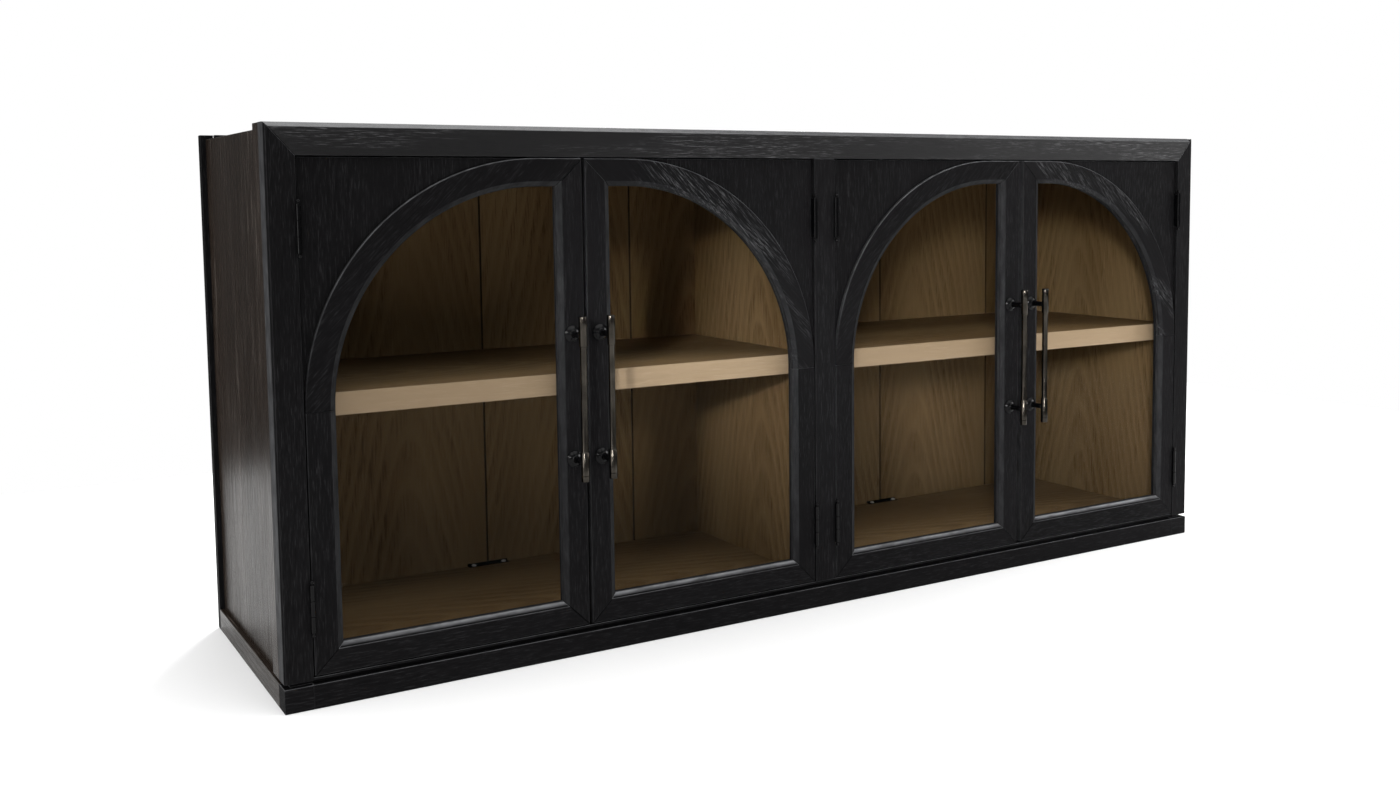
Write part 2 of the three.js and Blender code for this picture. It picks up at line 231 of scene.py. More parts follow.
def clear_glass(name):
    """Clear glass: nearly all light goes through, and a little is mirrored, softened by faint smears."""
    look = Look(name)
    smear = look.noise(look.place(), SMEAR_SCALE, 4.0, 0.6)
    mirror = look.add("ShaderNodeBsdfPrincipled", {
        "Base Color": rgb(0.86, 0.93, 0.92), "Metallic": 1.0,
        "Roughness": look.ramp(smear, 0.35, 0.75, 0.02, 0.10)})
    through = look.add("ShaderNodeBsdfTransparent", {"Color": rgb(0.985, 0.992, 0.99)})
    return look.close(look.add("ShaderNodeMixShader", {
        0: MIRROR_SHARE, 1: through.outputs[0], 2: mirror.outputs[0]}))


def pale_floor(name):
    look = Look(name)
    cloud = look.noise(look.place(), (1.2, 1.2, 1.2), 3.0)
    return look.surface(
        Base_Color=look.blend(cloud, rgb(0.88, 0.88, 0.88), rgb(0.92, 0.92, 0.92)),
        Roughness=0.9, Specular_IOR_Level=0.1)


# Brushed grain whose fibre streaks are painted bright, as glints of light off the grain; for the top rail
# and for the arch rails that curve down to the right.
BRUSHED_AND_GLINTING = {
    "ground": rgb(0.0064, 0.0062, 0.0066), "fibre": rgb(0.080, 0.079, 0.082),
    "ring_tone": rgb(0.0030, 0.0029, 0.0031), "streak_share": 1.0, "ring_share": 0.6,
    "wear_and_highlight": rgb(0.120, 0.122, 0.128), "patch": (0.42, 0.60),
    "fine": (45, 800, 800), "coarse": (18, 320, 320)}
LOOKS = {
    "black_oak": oak(
        "black_oak", ground=rgb(0.0066, 0.0064, 0.0068), fibre=rgb(0.027, 0.0265, 0.028),
        ring_tone=rgb(0.0032, 0.0031, 0.0033), streak_share=0.55, ring_share=0.7,
        wear_and_highlight=rgb(0.165, 0.167, 0.174), roughness=0.56, specular=0.022,
        patch=(0.22, 0.52), fine=(60, 900, 900), coarse=(25, 400, 400)),
    # A lit copy of black oak, painted lighter and glossier, for slopes that face up steeply.
    "lit_slope_oak": oak(
        "lit_slope_oak", ground=rgb(0.030, 0.030, 0.032), fibre=rgb(0.060, 0.060, 0.063),
        ring_tone=rgb(0.020, 0.020, 0.021), streak_share=0.80, ring_share=0.5,
        wear_and_highlight=rgb(0.125, 0.127, 0.133), roughness=0.30, specular=0.40),
    "glint_streaked_oak": oak("glint_streaked_oak", **BRUSHED_AND_GLINTING, roughness=0.50, specular=0.03),
    "rail_oak": oak("rail_oak", **BRUSHED_AND_GLINTING, roughness=0.46, specular=0.20),
    "end_oak": oak(
        "end_oak", ground=rgb(0.0200, 0.0142, 0.0108), fibre=rgb(0.105, 0.088, 0.076),
        ring_tone=rgb(0.0080, 0.0056, 0.0042), streak_share=0.85, ring_share=0.8,
        wear_and_highlight=rgb(0.12, 0.115, 0.110), roughness=0.24, specular=0.03, relief=0.30 * MM,
        taper=0.03, fine=(7, 420, 420)),
    "brown_oak": oak(
        "brown_oak", ground=rgb(0.172, 0.111, 0.053), fibre=rgb(0.232, 0.158, 0.086),
        ring_tone=rgb(0.060, 0.030, 0.010), streak_share=0.35, ring_share=0.85,
        wear_and_highlight=rgb(0.26, 0.18, 0.10), roughness=0.62, specular=0.04, relief=0.08 * MM,
        ring_spacing=19 * MM, taper=0.21),
    "lipping": oak(
        "lipping", ground=rgb(0.262, 0.186, 0.117), fibre=rgb(0.310, 0.232, 0.156),
        ring_tone=rgb(0.210, 0.143, 0.085), streak_share=0.5, ring_share=0.55,
        wear_and_highlight=rgb(0.31, 0.24, 0.16), roughness=0.50, specular=0.12, relief=0.10 * MM,
        ring_spacing=7 * MM, taper=0.02),
    "glass": clear_glass("glass"),
    "pewter": metal("pewter", rgb(0.050, 0.045, 0.038), rgb(0.027, 0.024, 0.020), 0.20, 1.0),
    "black_steel": metal(
        "black_steel", rgb(0.0018, 0.0018, 0.0020), rgb(0.0010, 0.0010, 0.0012), 0.12, 0.0, 0.12),
    "zinc": metal("zinc", rgb(0.62, 0.61, 0.58), rgb(0.46, 0.45, 0.43), 0.30, 1.0),
    "black_rubber": metal(
        "black_rubber", rgb(0.012, 0.012, 0.013), rgb(0.007, 0.007, 0.008), 0.66, 0.0, 0.20),
}


# ---- meshes and pieces ------------------------------------------------------------------------
def finish_piece(name, mesh, look, body):
    """Links a mesh as a piece that rides on a body. look is not used."""
    piece = bpy.data.objects.new(name, mesh)
    bpy.context.scene.collection.objects.link(piece)
    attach(piece, body)
    return piece


def add_piece(name, mesh, look, body):
    mesh.materials.append(LOOKS[look])
    return finish_piece(name, mesh, look, body)


def to_mesh(name, bm):
    bmesh.ops.recalc_face_normals(bm, faces=bm.faces)
    mesh = bpy.data.meshes.new(name)
    bm.to_mesh(mesh)
    bm.free()
    return mesh


def turned_mesh(name, bm, sharp_angle=38):
    """A mesh that is smooth but for edges sharper than the angle."""
    mesh = to_mesh(name, bm)
    for face in mesh.polygons:
        face.use_smooth = True
    mesh.set_sharp_from_angle(angle=math.radians(sharp_angle))
    return mesh


def ease(bm, edges, radius):
    """Rounds the edges and gives the new faces."""
    return bmesh.ops.bevel(bm, geom=edges, offset=radius, segments=2, profile=0.6,
                           affect="EDGES", clamp_overlap=True)["faces"]


def brick(bm, low, high, radius=0.4 * MM):
    """Adds a block with eased edges."""
    corners = [bm.verts.new((x, y, z))
               for x in (low[0], high[0]) for y in (low[1], high[1]) for z in (low[2], high[2])]
    faces = [bm.faces.new([corners[i] for i in quad]) for quad in (
        (0, 1, 3, 2), (4, 6, 7, 5), (0, 4, 5, 1), (2, 3, 7, 6), (0, 2, 6, 4), (1, 5, 7, 3))]
    # Each edge once, in the order of the faces.
    edges = dict.fromkeys(edge for face in faces for edge in face.edges)
    ease(bm, list(edges), radius)


def revolve(bm, profile, centre, axis, steps=32):
    """Adds a turned solid. Its profile is (radius, distance along the axis), from the axis to the axis."""
    axis = axis.normalized()
    side = axis.orthogonal().normalized()
    third = axis.cross(side)
    rings = []
    for radius, height in profile:
        foot = centre + axis * height
        if radius < 1e-7:
            rings.append([bm.verts.new(foot)])
            continue
        angles = [2 * math.pi * step / steps for step in range(steps)]
        rings.append([
            bm.verts.new(foot + radius * (side * math.cos(a) + third * math.sin(a))) for a in angles])
    for low, high in zip(rings, rings[1:]):
        for step in range(steps):
            following = (step + 1) % steps
            corners = [low[step % len(low)], low[following % len(low)],
                       high[following % len(high)], high[step % len(high)]]
            bm.faces.new(list(dict.fromkeys(corners)))


def dome(radius, height, sink=0.0):
    """Profile of a domed head with a small driver recess, from its seat up."""
    rim = 0.22 * height
    arc = [(radius * math.cos(t), rim + (height - rim) * math.sin(t)) for t in (0, 0.35, 0.7, 1.05)]
    recess = 0.32 * radius
    return [(0, -sink), (radius * 0.96, -sink), (radius, 0.1 * rim), *arc,
            (recess, height), (recess * 0.8, height - 0.45 * height), (0, height - 0.5 * height)]


# ---- the CAD's wood and glass, with eased edges -----------------------------------------------
# Grain directions: (along, across, into) the grain.
FRONT_LEVEL = (X, Z, Y)
FRONT_UPRIGHT = (Z, X, Y)
SIDE_UPRIGHT = (Z, Y, X)
SIDE_LEVEL = (Y, Z, X)
FLAT_LEVEL = (X, Y, Z)

PLANK = 300 * MM              # pitch of the back panel's V-grooves
GROOVE_DEPTH = 2.5 * MM
ROUNDING = 0.7 * MM           # of the wood's edges
SHARP = 20                    # degrees between two faces, above which their edge is rounded

# Edge rubbing and painted light, from 0 to 1. Painted shade in a groove, and a joint's dark edges, are -1.
EDGE_WEAR = 0.06              # of an eased edge that faces sideways; one that faces up is painted lighter, up to 1, as a highlight where light from above falls
REVEAL_LIGHT = 0.14            # painted light on a frame member's inner and outer sides, as on lit reveals
SLOPE_HIGHLIGHT = 0.10             # painted highlight on the sloped face between a member's front and its side
SLOPE_HIGHLIGHT_EDGES = (-0.9, 2.6)     # painted highlight towards the lower and the upper edge of one that faces partly up, lightest at its upper edge
STEEP, HIGH_SLOPE_HIGHLIGHT = 0.7, 0.36   # a slope that faces up more than that is painted evenly lighter, as a highlight from above
LIT_SIDE_LIGHT = 0.30              # painted light on a stile's outward side, as lit from that side

# Cosines between a face's normal and a direction.
SLOPED = (0.3, 0.97)          # a slope's, to the front. A side's is below the first
AT_JOINT = 0.2                # above it, along the grain, for an edge at a joint
LIT_SIDE_FACING = 0.9               # above it for a side that is painted lighter, as lit


def diagonal(hand):
    """Straight grain across the corner of a door that is hinged on its left (+1) or right (-1)."""
    along = Vector((1, 0, hand)).normalized()
    return (along, along.cross(Y), Y)


def write_grain(mesh, axes, tone_of=lambda face, point: 0.0, plank=None):
    """Gives each face corner its place along, across and into the grain, moved by chance for each piece.

    It also gives each corner its edge rubbing and painted light or shade, from tone_of. plank numbers the
    plank that a point is in."""
    along, across, deep = axes
    offsets = {}
    mesh.attributes.new("grain", "FLOAT_VECTOR", "CORNER")
    mesh.attributes.new("wear_and_light", "FLOAT", "CORNER")
    grain, wear_and_light = mesh.attributes["grain"], mesh.attributes["wear_and_light"]
    middle = sum((v.co for v in mesh.vertices), Vector()) / len(mesh.vertices)
    for face in mesh.polygons:
        key = plank(face.center) if plank else 0
        if key not in offsets:
            heart = middle.dot(across) if plank is None else key * PLANK
            offsets[key] = Vector((
                chance.uniform(0, 9), chance.uniform(-0.06, 0.06) - heart, chance.uniform(0, 3)))
        for corner in face.loop_indices:
            point = mesh.vertices[mesh.loops[corner].vertex_index].co
            grain.data[corner].vector = Vector((
                point.dot(along), point.dot(across), point.dot(deep))) + offsets[key]
            wear_and_light.data[corner].value = tone_of(face, point)


def eased_solid(node, radius, split, smooth):
    """The CAD piece's mesh with every sharp edge eased, and the numbers of the faces that this made."""
    bm = bmesh.new()
    bm.from_mesh(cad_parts[node].data)
    bmesh.ops.remove_doubles(bm, verts=bm.verts, dist=0.01 * MM)
    bmesh.ops.dissolve_limit(bm, angle_limit=math.radians(1), verts=bm.verts, edges=bm.edges)
    if split:
        bmesh.ops.bisect_plane(
            bm, geom=[*bm.verts, *bm.edges, *bm.faces], plane_co=(0, 0, split), plane_no=Z)
    sharp = [edge for edge in bm.edges
             if len(edge.link_faces) == 2 and edge.calc_face_angle() > math.radians(SHARP)]
    eased = ease(bm, sharp, radius)
    bm.faces.index_update()
    eased_faces = {face.index for face in eased}
    for face in bm.faces:
        face.smooth = smooth
    mesh = bpy.data.meshes.new(node)
    bm.to_mesh(mesh)
    bm.free()
    return mesh, eased_faces


def softened(node, look, axes, radius=ROUNDING, body="case", suffix=".wood", plank=None, two_tone=None,
             groove=None, member=None, bare=None, split=None):
    """The CAD piece again, with every sharp edge eased. It stands for the node.

    member is "straight" or "curved" for a piece of a frame, whose sides and sloped faces are painted lighter
    as lit, and whose edges that face up get a painted highlight.
    The ends of a straight member are at joints, where its edges stay dark.
    bare is the direction of a side that is painted lighter, as lit from there, and groove says whether a
    face is in a groove, which is painted dark as shade.
    two_tone is a second look, and the test of a face that has it. A straight member has its own: a lit copy
    of the wood, painted lighter, on slopes that face up steeply.
    split is a height at which the faces are divided, so that two_tone can tell them apart."""
    mesh, eased_faces = eased_solid(node, radius, split, smooth=groove is None)

    def sloped(face):
        return member and face.index not in eased_faces and SLOPED[0] < -face.normal.y < SLOPED[1]

    def tone_of(face, point):
        upward = max(0.0, face.normal.z)
        # Painted shade: a face in a groove is made dark.
        if groove and groove(face.center):
            return -1.0
        if face.index in eased_faces and member == "straight" and abs(face.normal.dot(axes[0])) > AT_JOINT:
            return -1.0
        # Eased edges: a sideways one slightly rubbed, one that faces up painted lighter as a highlight from
        # above; on a curved member only by how much it faces up.
        if face.index in eased_faces:
            return upward if member == "curved" else EDGE_WEAR + (1 - EDGE_WEAR) * upward
        # Sloped faces: a painted highlight, lighter where they face up.
        if sloped(face) and upward > STEEP:
            return HIGH_SLOPE_HIGHLIGHT
        if sloped(face):
            return SLOPE_HIGHLIGHT + (SLOPE_HIGHLIGHT_EDGES[point.z > face.center.z] - SLOPE_HIGHLIGHT) * upward
        # A painted lit side: lighter where it faces the light.
        if bare and face.normal.dot(bare) > LIT_SIDE_FACING:
            return LIT_SIDE_LIGHT
        # Painted light on a frame member's sides, as lit reveals.
        return REVEAL_LIGHT if member and abs(face.normal.y) < SLOPED[0] else 0.0

    write_grain(mesh, axes, tone_of, plank)
    mesh.materials.append(LOOKS[look])
    if member == "straight":
        # Slopes that face up steeply take the lit copy of the wood, painted lighter as a highlight.
        two_tone = ("lit_slope_oak", lambda face: sloped(face) and face.normal.z > STEEP)
    if two_tone:
        other, faces_it = two_tone
        mesh.materials.append(LOOKS[other])
        for face in mesh.polygons:
            face.material_index = 1 if faces_it(face) else 0
    piece = finish_piece(node + suffix, mesh, look, body)
    if groove is None:
        piece.modifiers.new("weighted", "WEIGHTED_NORMAL").weight = 80
    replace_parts(piece, node)


CASE_WOOD = {
    "bottom_rail": ("black_oak", FRONT_LEVEL),
    "plinth_front": ("black_oak", FRONT_LEVEL),
    "centre_stile": ("black_oak", FRONT_UPRIGHT),
    "centre_partition": ("brown_oak", SIDE_UPRIGHT),
    "bottom_board": ("brown_oak", FLAT_LEVEL),
}
END_WOOD = {
    "end_stile": ("end_oak", SIDE_UPRIGHT),
    "rear_post": ("black_oak", SIDE_UPRIGHT),
    "plinth_block": ("black_oak", FRONT_LEVEL),
    "plinth_side": ("end_oak", SIDE_LEVEL),
    "shelf": ("brown_oak", FLAT_LEVEL),
    "shelf_edge": ("lipping", FRONT_LEVEL),
}
MEMBERS = {"hinge_stile": FRONT_UPRIGHT, "meeting_stile": FRONT_UPRIGHT, "bottom_rail": FRONT_LEVEL}


def add_case():
    softened("top_rail", "rail_oak", FRONT_LEVEL, member="straight")
    for node, (look, axes) in CASE_WOOD.items():
        softened(node, look, axes)
    softened("top_board", "brown_oak", FLAT_LEVEL,
             two_tone=("black_oak", lambda face: face.normal.z > -0.5))
    groove_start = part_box("back_panel")[0].y
    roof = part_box("top_board")[1].z
    # Its V-grooves are painted dark, as shade.
    softened("back_panel", "brown_oak", FRONT_UPRIGHT, radius=0.3 * MM, split=roof,
             plank=lambda centre: math.floor(centre.x / PLANK + 0.5),
             two_tone=("black_oak", lambda face: face.normal.y > -0.2 or face.center.z > roof),
             groove=lambda centre: groove_start + 0.2 * MM < centre.y < groove_start + GROOVE_DEPTH)
    for side, outward in SIDES.items():
        # Each stile's outward side is painted lighter, as lit from that side.
        softened(side + "_stile", "black_oak", FRONT_UPRIGHT, bare=outward * X)
        for node, (look, axes) in END_WOOD.items():
            softened(f"{side}_{node}", look, axes)
        softened(
            side + "_end_panel", "end_oak", SIDE_UPRIGHT, split=roof, two_tone=(
                "brown_oak",
                lambda face, outward=outward: face.normal.x * outward < -0.5 and face.center.z < roof))


def add_door_wood(prefix, hand):
    body = prefix + "door"
    for node, axes in MEMBERS.items():
        softened(prefix + node, "black_oak", axes, body=body, member="straight")
    softened(prefix + "spandrel", "black_oak", FRONT_UPRIGHT, body=body)
    # The arch rails that curve down to the right get brighter fibre streaks, painted glints of light off
    # their brushed grain.
    look = "black_oak" if hand > 0 else "glint_streaked_oak"
    softened(prefix + "arch_rail", look, diagonal(hand), radius=1.0 * MM, body=body, member="curved")
    softened(prefix + "glass", "glass", FRONT_UPRIGHT, radius=0.5 * MM, body=body, suffix=".pane")


# ---- door hardware ----------------------------------------------------------------------------
PULL_LENGTH = 250 * MM
PULL_SPACING = 192 * MM
PULL_STANDOFF = 38 * MM
BAR, FERRULE = 5.0 * MM, 6.25 * MM     # radii
FERRULE_LENGTH = 45 * MM
CAP, GROOVE = 8.5 * MM, 0.9 * MM       # length of the end cap, and the width and depth of the ring beside it
ROSE_AND_POST = [                      # radius and height, in millimetres
    (0, 0.3), (13.0, 0.3), (13.0, 1.9), (12.6, 2.4), (11.9, 2.6), (11.2, 3.6), (9.8, 4.9), (8.0, 6.0),
    (6.4, 6.6), (5.4, 7.4), (4.7, 9.0), (4.5, 12), (4.5, 28),
    (4.9, 30.0), (5.5, 31.5), (5.5, 33.2), (4.6, 34.2)]


def mirrored_profile(half):
    return [*((radius, -height) for radius, height in reversed(half)), *half]


def add_pull(prefix, door_face):
    """A turned bar with a ferrule at each end, on two black posts with domed roses."""
    low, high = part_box(prefix + "pull")
    centre = Vector(((low.x + high.x) / 2, door_face - PULL_STANDOFF, (low.z + high.z) / 2))
    body = prefix + "door"
    end, step = PULL_LENGTH / 2, PULL_LENGTH / 2 - FERRULE_LENGTH
    ring = end - CAP
    lip = 0.5 * MM
    half = [
        (BAR, step - 1.6 * MM), (BAR + 0.2 * MM, step - 0.6 * MM), (FERRULE - 0.3 * MM, step),
        (FERRULE, step + lip), (FERRULE, ring - GROOVE), (FERRULE - lip, ring - GROOVE * 0.8),
        (FERRULE - GROOVE, ring - GROOVE / 2), (FERRULE - lip, ring - GROOVE * 0.2), (FERRULE, ring),
        (FERRULE, end - GROOVE), (FERRULE - 0.25 * MM, end - 0.35 * MM), (FERRULE - GROOVE, end), (0, end)]
    bm = bmesh.new()
    revolve(bm, mirrored_profile(half), centre, Z, 40)
    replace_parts(add_piece(prefix + "pull.bar", turned_mesh("bar", bm), "pewter", body), prefix + "pull")
    rose = [(radius * MM, height * MM) for radius, height in ROSE_AND_POST]
    rose.append((0, PULL_STANDOFF - BAR * 0.6))
    bm = bmesh.new()
    for side in (-1, 1):
        revolve(bm, rose, Vector((centre.x, door_face, centre.z + side * PULL_SPACING / 2)), -Y, 40)
    posts = add_piece(prefix + "pull.posts", turned_mesh("posts", bm, 50), "black_steel", body)
    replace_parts(posts, prefix + "pull")


BARREL = 3.4 * MM             # radius
BARREL_AXIS = 3.6 * MM        # in front of the door's face
BARREL_HALF = 34 * MM
KNUCKLE = 11 * MM             # half the length of the middle knuckle
SLIT = 0.25 * MM              # between two knuckles
FINIAL_NECK, FINIAL_BALL = 1.6 * MM, 2.9 * MM
LEAF_HALF, LEAF_DEPTH = 32 * MM, 17 * MM
LEAF_FRONT = 2.2 * MM         # behind the barrel's axis
DOOR_LEAF = (1.9 * MM, 0.7 * MM)      # from the barrel's axis to its bare face and to the one with screws,
CASE_LEAF = (-0.9 * MM, -0.1 * MM)    # towards the door's middle
LEAF_SCREWS = 22 * MM         # between a leaf's screws
LEAF_SCREW = [(0, -0.1), (3.0, -0.1), (2.8, 0.18), (1.1, 0.22), (0.9, -0.05), (0, -0.05)]   # millimetres


def knuckle(bm, centre, low, high):
    corner = 0.35 * MM
    revolve(bm, [(0, low), (BARREL - corner, low), (BARREL, low + corner), (BARREL, high - corner),
                 (BARREL - corner, high), (0, high)], centre, Z, 28)


def finial(bm, centre, direction):
    """A ball on a short neck, at the barrel's upper (+1) or lower (-1) end."""
    base, collar = BARREL_HALF, BARREL * 0.85
    ball = base + 3.9 * MM
    outline = [(0, base - 0.5 * MM), (collar, base - 0.5 * MM), (collar, base),
               (FINIAL_NECK, base + 0.7 * MM)]
    for angle in (0.6, 1.0, 1.35, 1.75, 2.15, 2.6, 2.9):
        outline.append((FINIAL_BALL * math.sin(angle), ball - FINIAL_BALL * math.cos(angle)))
    outline.append((0, ball + FINIAL_BALL))
    revolve(bm, outline, centre, Z * direction, 24)


def add_leaf(bm, bare, shown, centre, door_face):
    """One leaf of a hinge, between two places along X. Its three screws show on the second."""
    brick(bm, (min(bare, shown), centre.y + LEAF_FRONT, centre.z - LEAF_HALF),
          (max(bare, shown), door_face + LEAF_DEPTH, centre.z + LEAF_HALF), 0.2 * MM)
    screw = [(radius * MM, height * MM) for radius, height in LEAF_SCREW]
    for rise in (-LEAF_SCREWS, 0, LEAF_SCREWS):
        place = Vector((shown, door_face + LEAF_DEPTH * 0.55, centre.z + rise))
        revolve(bm, screw, place, X if shown > bare else -X, 20)


def add_hinge(prefix, which, hand, door_face):
    """A butt hinge: the door's leaf has the middle knuckle, the case's the outer two and the finials."""
    node = f"{prefix}{which}_hinge"
    low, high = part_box(node)
    # The barrel is at the end of the node's box that is away from the door's middle.
    axis_x = low.x + BARREL if hand > 0 else high.x - BARREL
    centre = Vector((axis_x, door_face - BARREL_AXIS, (low.z + high.z) / 2))
    bm = bmesh.new()
    add_leaf(bm, *(axis_x + hand * face for face in DOOR_LEAF), centre, door_face)
    knuckle(bm, centre, -KNUCKLE + SLIT, KNUCKLE - SLIT)
    piece = add_piece(node + ".door_leaf", turned_mesh("leaf", bm), "black_steel", prefix + "door")
    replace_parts(piece, node)
    bm = bmesh.new()
    add_leaf(bm, *(axis_x + hand * face for face in CASE_LEAF), centre, door_face)
    knuckle(bm, centre, KNUCKLE + SLIT, BARREL_HALF)
    knuckle(bm, centre, -BARREL_HALF, -KNUCKLE - SLIT)
    finial(bm, centre, 1)
    finial(bm, centre, -1)
    add_piece(node + ".case_leaf", turned_mesh("leaf", bm), "black_steel", "case")


MEMBER, REBATE = 42 * MM, 8 * MM       # width of a door's stiles and rails, and of the glass's seat in them
ARCH_RADIUS = 350 * MM                 # outside
BEAD_FRONT, BEAD_BACK = 16.7 * MM, 19.8 * MM
BEAD_CHAMFER = 1.4 * MM
ARC_STEPS = 32


def add_bead(prefix, hand, door_low, door_high):
    """The strip in the rebate that holds the glass, all round the opening in one loop."""
    width, height = door_high.x - door_low.x, door_high.z - door_low.z
    spring = height - ARCH_RADIUS
    near, far = MEMBER - REBATE + 0.4 * MM, MEMBER - 1.2 * MM
    section = [(near, BEAD_FRONT), (far, BEAD_FRONT), (far, BEAD_BACK - BEAD_CHAMFER),
               (far - BEAD_CHAMFER, BEAD_BACK), (near, BEAD_BACK)]
    arc = [math.pi / 2 * (1 + step / ARC_STEPS) for step in range(ARC_STEPS + 1)]
    bm = bmesh.new()
    loops = []
    for inset, depth in section:
        radius = ARCH_RADIUS - inset
        points = [(inset, inset), (width - inset, inset), (width - inset, height - inset)]
        points += [(ARCH_RADIUS + radius * math.cos(a), spring + radius * math.sin(a)) for a in arc]
        edge = door_low.x if hand > 0 else door_high.x
        loops.append([
            bm.verts.new((edge + hand * x, door_low.y + depth, door_low.z + z)) for x, z in points])
    for first, second in zip(loops, loops[1:] + loops[:1]):
        for i in range(len(first)):
            j = (i + 1) % len(first)
            bm.faces.new([first[i], first[j], second[j], second[i]])
    add_piece(prefix + "glass_bead", turned_mesh("bead", bm), "black_rubber", prefix + "door")


STOP_HEIGHT = 9 * MM          # of the strip under the top rail that the doors close against
CATCH_INSET = 60 * MM         # from the door's meeting edge to the middle of its catch


def add_catch(prefix, hand, door_low, door_high):
    """A magnetic catch under the top rail's strip, and the strike plate let into the back of the door."""
    middle = (door_high.x - CATCH_INSET) if hand > 0 else (door_low.x + CATCH_INSET)
    under = (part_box("top_rail")[0] - Z * STOP_HEIGHT).z

    def at(across, behind, below):
        """A place in millimetres from the catch's middle, the door's back and the strip's underside."""
        return Vector((middle + across * MM, door_high.y + behind * MM, under - below * MM))

    bm = bmesh.new()
    brick(bm, at(-20, 1.0, 11), at(20, 11, 0.3), 1.2 * MM)
    for magnet in (-7, 7):
        brick(bm, at(magnet - 3, 0.5, 9.5), at(magnet + 3, 1.6, 2), 0.2 * MM)
    add_piece(prefix + "catch", turned_mesh("catch", bm), "black_rubber", "case")
    bm = bmesh.new()
    brick(bm, at(-15, -0.2, 13), at(15, 0.4, 3.5), 0.15 * MM)
    revolve(bm, dome(2.6 * MM, 0.9 * MM, 0.2 * MM), at(0, 0.3, 11), Y, 20)
    add_piece(prefix + "strike_plate", turned_mesh("strike", bm), "zinc", prefix + "door")


def add_doors():
    for name, hand in DOORS.items():
        prefix = name + "_"
        add_door_wood(prefix, hand)
        door_low, rail_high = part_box(prefix + "bottom_rail")
        _, arch_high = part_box(prefix + "arch_rail")
        door_high = Vector((rail_high.x, rail_high.y, arch_high.z))
        add_pull(prefix, door_low.y)
        for which in ("upper", "lower"):
            add_hinge(prefix, which, hand, door_low.y)
        add_bead(prefix, hand, door_low, door_high)
        add_catch(prefix, hand, door_low, door_high)


# ---- fittings inside and behind ---------------------------------------------------------------
CLEAR = 0.3 * MM              # between a fitting and the board beside it


def add_stops():
    """A strip under the top rail of each bay, just behind the closed doors."""
    rail_low, rail_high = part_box("top_rail")
    _, door_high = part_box("left_outer_bottom_rail")
    near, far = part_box("centre_stile")[1].x + CLEAR, -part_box("left_stile")[1].x - CLEAR
    for side, sign in SIDES.items():
        bm = bmesh.new()
        brick(bm, (min(sign * near, sign * far), door_high.y + 2 * CLEAR, rail_low.z - STOP_HEIGHT),
              (max(sign * near, sign * far), rail_high.y - 0.5 * MM, rail_low.z - CLEAR), 0.8 * MM)
        mesh = to_mesh("stop", bm)
        write_grain(mesh, FRONT_LEVEL)
        add_piece(side + "_door_stop", mesh, "black_oak", "case")


PIN_INSET = 45 * MM           # from the shelf's front and back edges
PIN = [(0, -0.01), (3.6, -0.01), (3.6, 1.0), (2.5, 1.4), (2.5, 8.4), (2.0, 9), (0, 9)]   # millimetres


def add_shelf_pins(side, walls):
    shelf_low, shelf_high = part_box(side + "_shelf")
    profile = [(radius * MM, height * MM) for radius, height in PIN]
    bm = bmesh.new()
    for wall, inward in walls:
        for y in (shelf_low.y + PIN_INSET, shelf_high.y - PIN_INSET):
            revolve(bm, profile, Vector((wall, y, shelf_low.z - 2.7 * MM)), X * inward, 20)
    add_piece(side + "_shelf_pins", turned_mesh("pins", bm), "zinc", "case")


CLEAT, CLEAT_LENGTH = 20 * MM, 60 * MM
CLEAT_PLACES = (330 * MM, 70 * MM)     # from the back panel to each cleat's front end


def add_top_cleats(side, wall, inward):
    """Cleats that tie the top board to the end panel."""
    top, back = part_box("top_board")[0].z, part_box("back_panel")[0].y
    near, far = wall + inward * CLEAR, wall + inward * CLEAT
    bm = bmesh.new()
    for place in CLEAT_PLACES:
        y = back - place
        brick(bm, (min(near, far), y, top - CLEAT),
              (max(near, far), y + CLEAT_LENGTH, top - CLEAR), 1 * MM)
    mesh = to_mesh("cleats", bm)
    write_grain(mesh, SIDE_LEVEL)
    add_piece(side + "_top_cleats", mesh, "brown_oak", "case")


SCREW_INSET = 12 * MM
SCREW_COLUMNS, SCREW_ROWS = 11, 5


def spaced(low, high, count):
    return [low + SCREW_INSET + (high - low - 2 * SCREW_INSET) * i / (count - 1) for i in range(count)]


def add_back_screws():
    """Screws round the back of the back panel and up its middle."""
    low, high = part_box("back_panel")
    across, up = spaced(low.x, high.x, SCREW_COLUMNS), spaced(low.z, high.z, SCREW_ROWS)
    places = [(x, z) for x in across for z in (up[0], up[-1])]
    places += [(x, z) for x in (across[0], across[SCREW_COLUMNS // 2], across[-1]) for z in up[1:-1]]
    bm = bmesh.new()
    for x, z in places:
        revolve(bm, dome(4.0 * MM, 2.2 * MM), Vector((x, high.y + 0.05 * MM, z)), Y, 20)
    add_piece("back_panel_screws", turned_mesh("screws", bm), "zinc", "case")


BRACKET_HALF, BRACKET_LEG, BRACKET_RISE = 38 * MM, 12 * MM, 4 * MM
BRACKET_SHEET = 1.2 * MM


